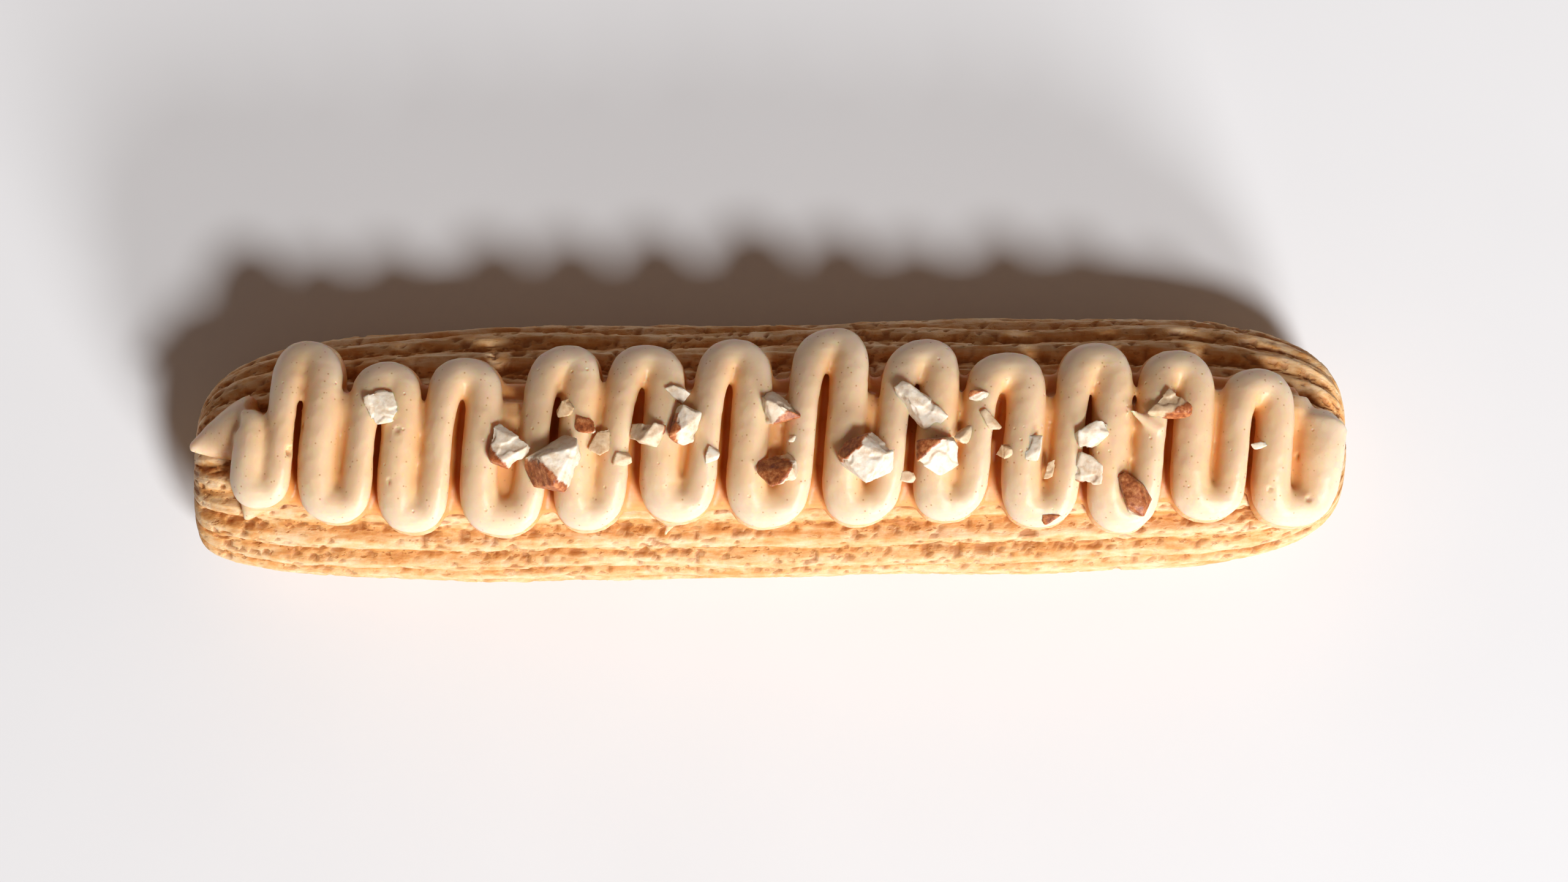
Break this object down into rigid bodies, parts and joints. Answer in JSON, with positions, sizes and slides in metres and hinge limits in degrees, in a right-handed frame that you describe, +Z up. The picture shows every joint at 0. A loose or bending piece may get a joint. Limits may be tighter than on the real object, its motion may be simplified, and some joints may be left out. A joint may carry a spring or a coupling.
{
  "type": "eclair",
  "caption": "Finger-long choux bun with fine lengthwise ridges, topped with a zigzag rope of piped nut cream and chopped hazelnuts.",
  "frame": {"origin": "middle of the flat base, at table level", "axes": "+X along the bun towards the end where piping began, +Z up, +Y towards the far side"},
  "size_m": [0.145, 0.0333, 0.0341],
  "materials": {
    "crust": "golden-brown baked choux crust, matte",
    "cream": "pale caramel praline cream, soft satin",
    "nut": "chopped roasted hazelnut, cream-white inside with red-brown skin"
  },
  "bodies": {
    "root": {"choux": "crust", "cream": "cream", "nut_01": "nut", "nut_02": "nut", "nut_03": "nut", "nut_04": "nut", "nut_05": "nut", "nut_06": "nut", "nut_07": "nut", "nut_08": "nut", "nut_09": "nut", "nut_10": "nut", "nut_11": "nut", "nut_12": "nut", "nut_13": "nut", "nut_14": "nut"}
  },
  "joints": []
}
